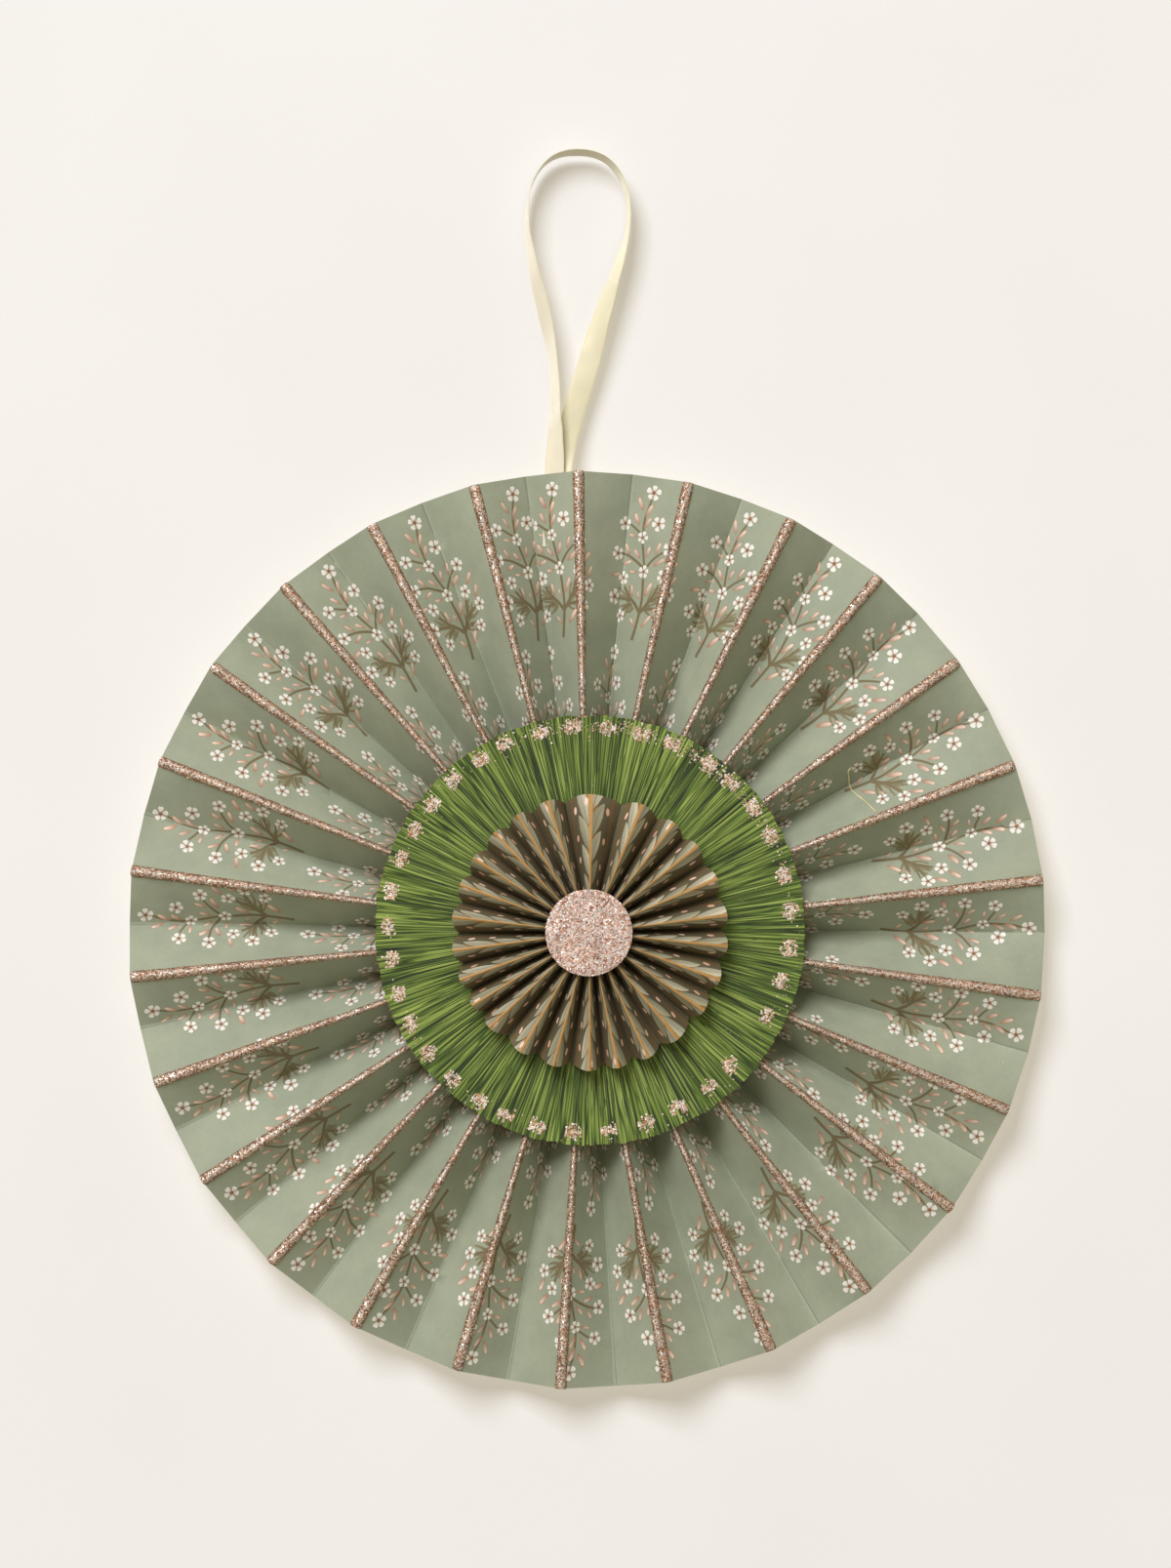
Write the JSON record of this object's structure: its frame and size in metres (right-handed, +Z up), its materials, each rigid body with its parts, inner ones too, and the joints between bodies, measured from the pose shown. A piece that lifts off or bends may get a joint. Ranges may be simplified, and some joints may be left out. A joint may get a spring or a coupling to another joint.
{
  "type": "paper fan medallion",
  "caption": "Round hanging medallion of accordion-folded printed paper with a crepe paper disc, a small pleated rosette, glitter trim and a ribbon loop.",
  "frame": {"origin": "top of the ribbon loop, on its inner face, where a nail or hook carries it", "axes": "+Z up along the hanging direction, the decorated front faces -Y, +X to the viewer's right, +Y towards the wall"},
  "size_m": [0.254, 0.0293, 0.343],
  "materials": {
    "sage_print_paper": "matte printed paper, fine linen mottle with small blossom sprigs",
    "rose_gold_glitter": "dried glitter glue, rose gold flakes",
    "green_crepe": "matte crepe paper with fine radial crinkles",
    "olive_print_paper": "matte printed paper",
    "champagne_glitter": "glitter card",
    "cream_ribbon": "satin",
    "hot_glue": "translucent hot-melt glue",
    "plain_card": "matte card"
  },
  "bodies": {
    "root": {"fan_strip_long": "sage_print_paper", "fan_strip_short": "sage_print_paper", "ridge_glitter": "rose_gold_glitter", "crepe_disc": "green_crepe", "crepe_glitter_dabs": "rose_gold_glitter", "small_rosette": "olive_print_paper", "centre_glitter_disc": "champagne_glitter", "hanging_ribbon": "cream_ribbon", "ribbon_glue_pad": "hot_glue", "back_card_disc": "plain_card", "fan_hub_glue": "hot_glue", "rosette_hub_glue": "hot_glue"}
  },
  "joints": []
}
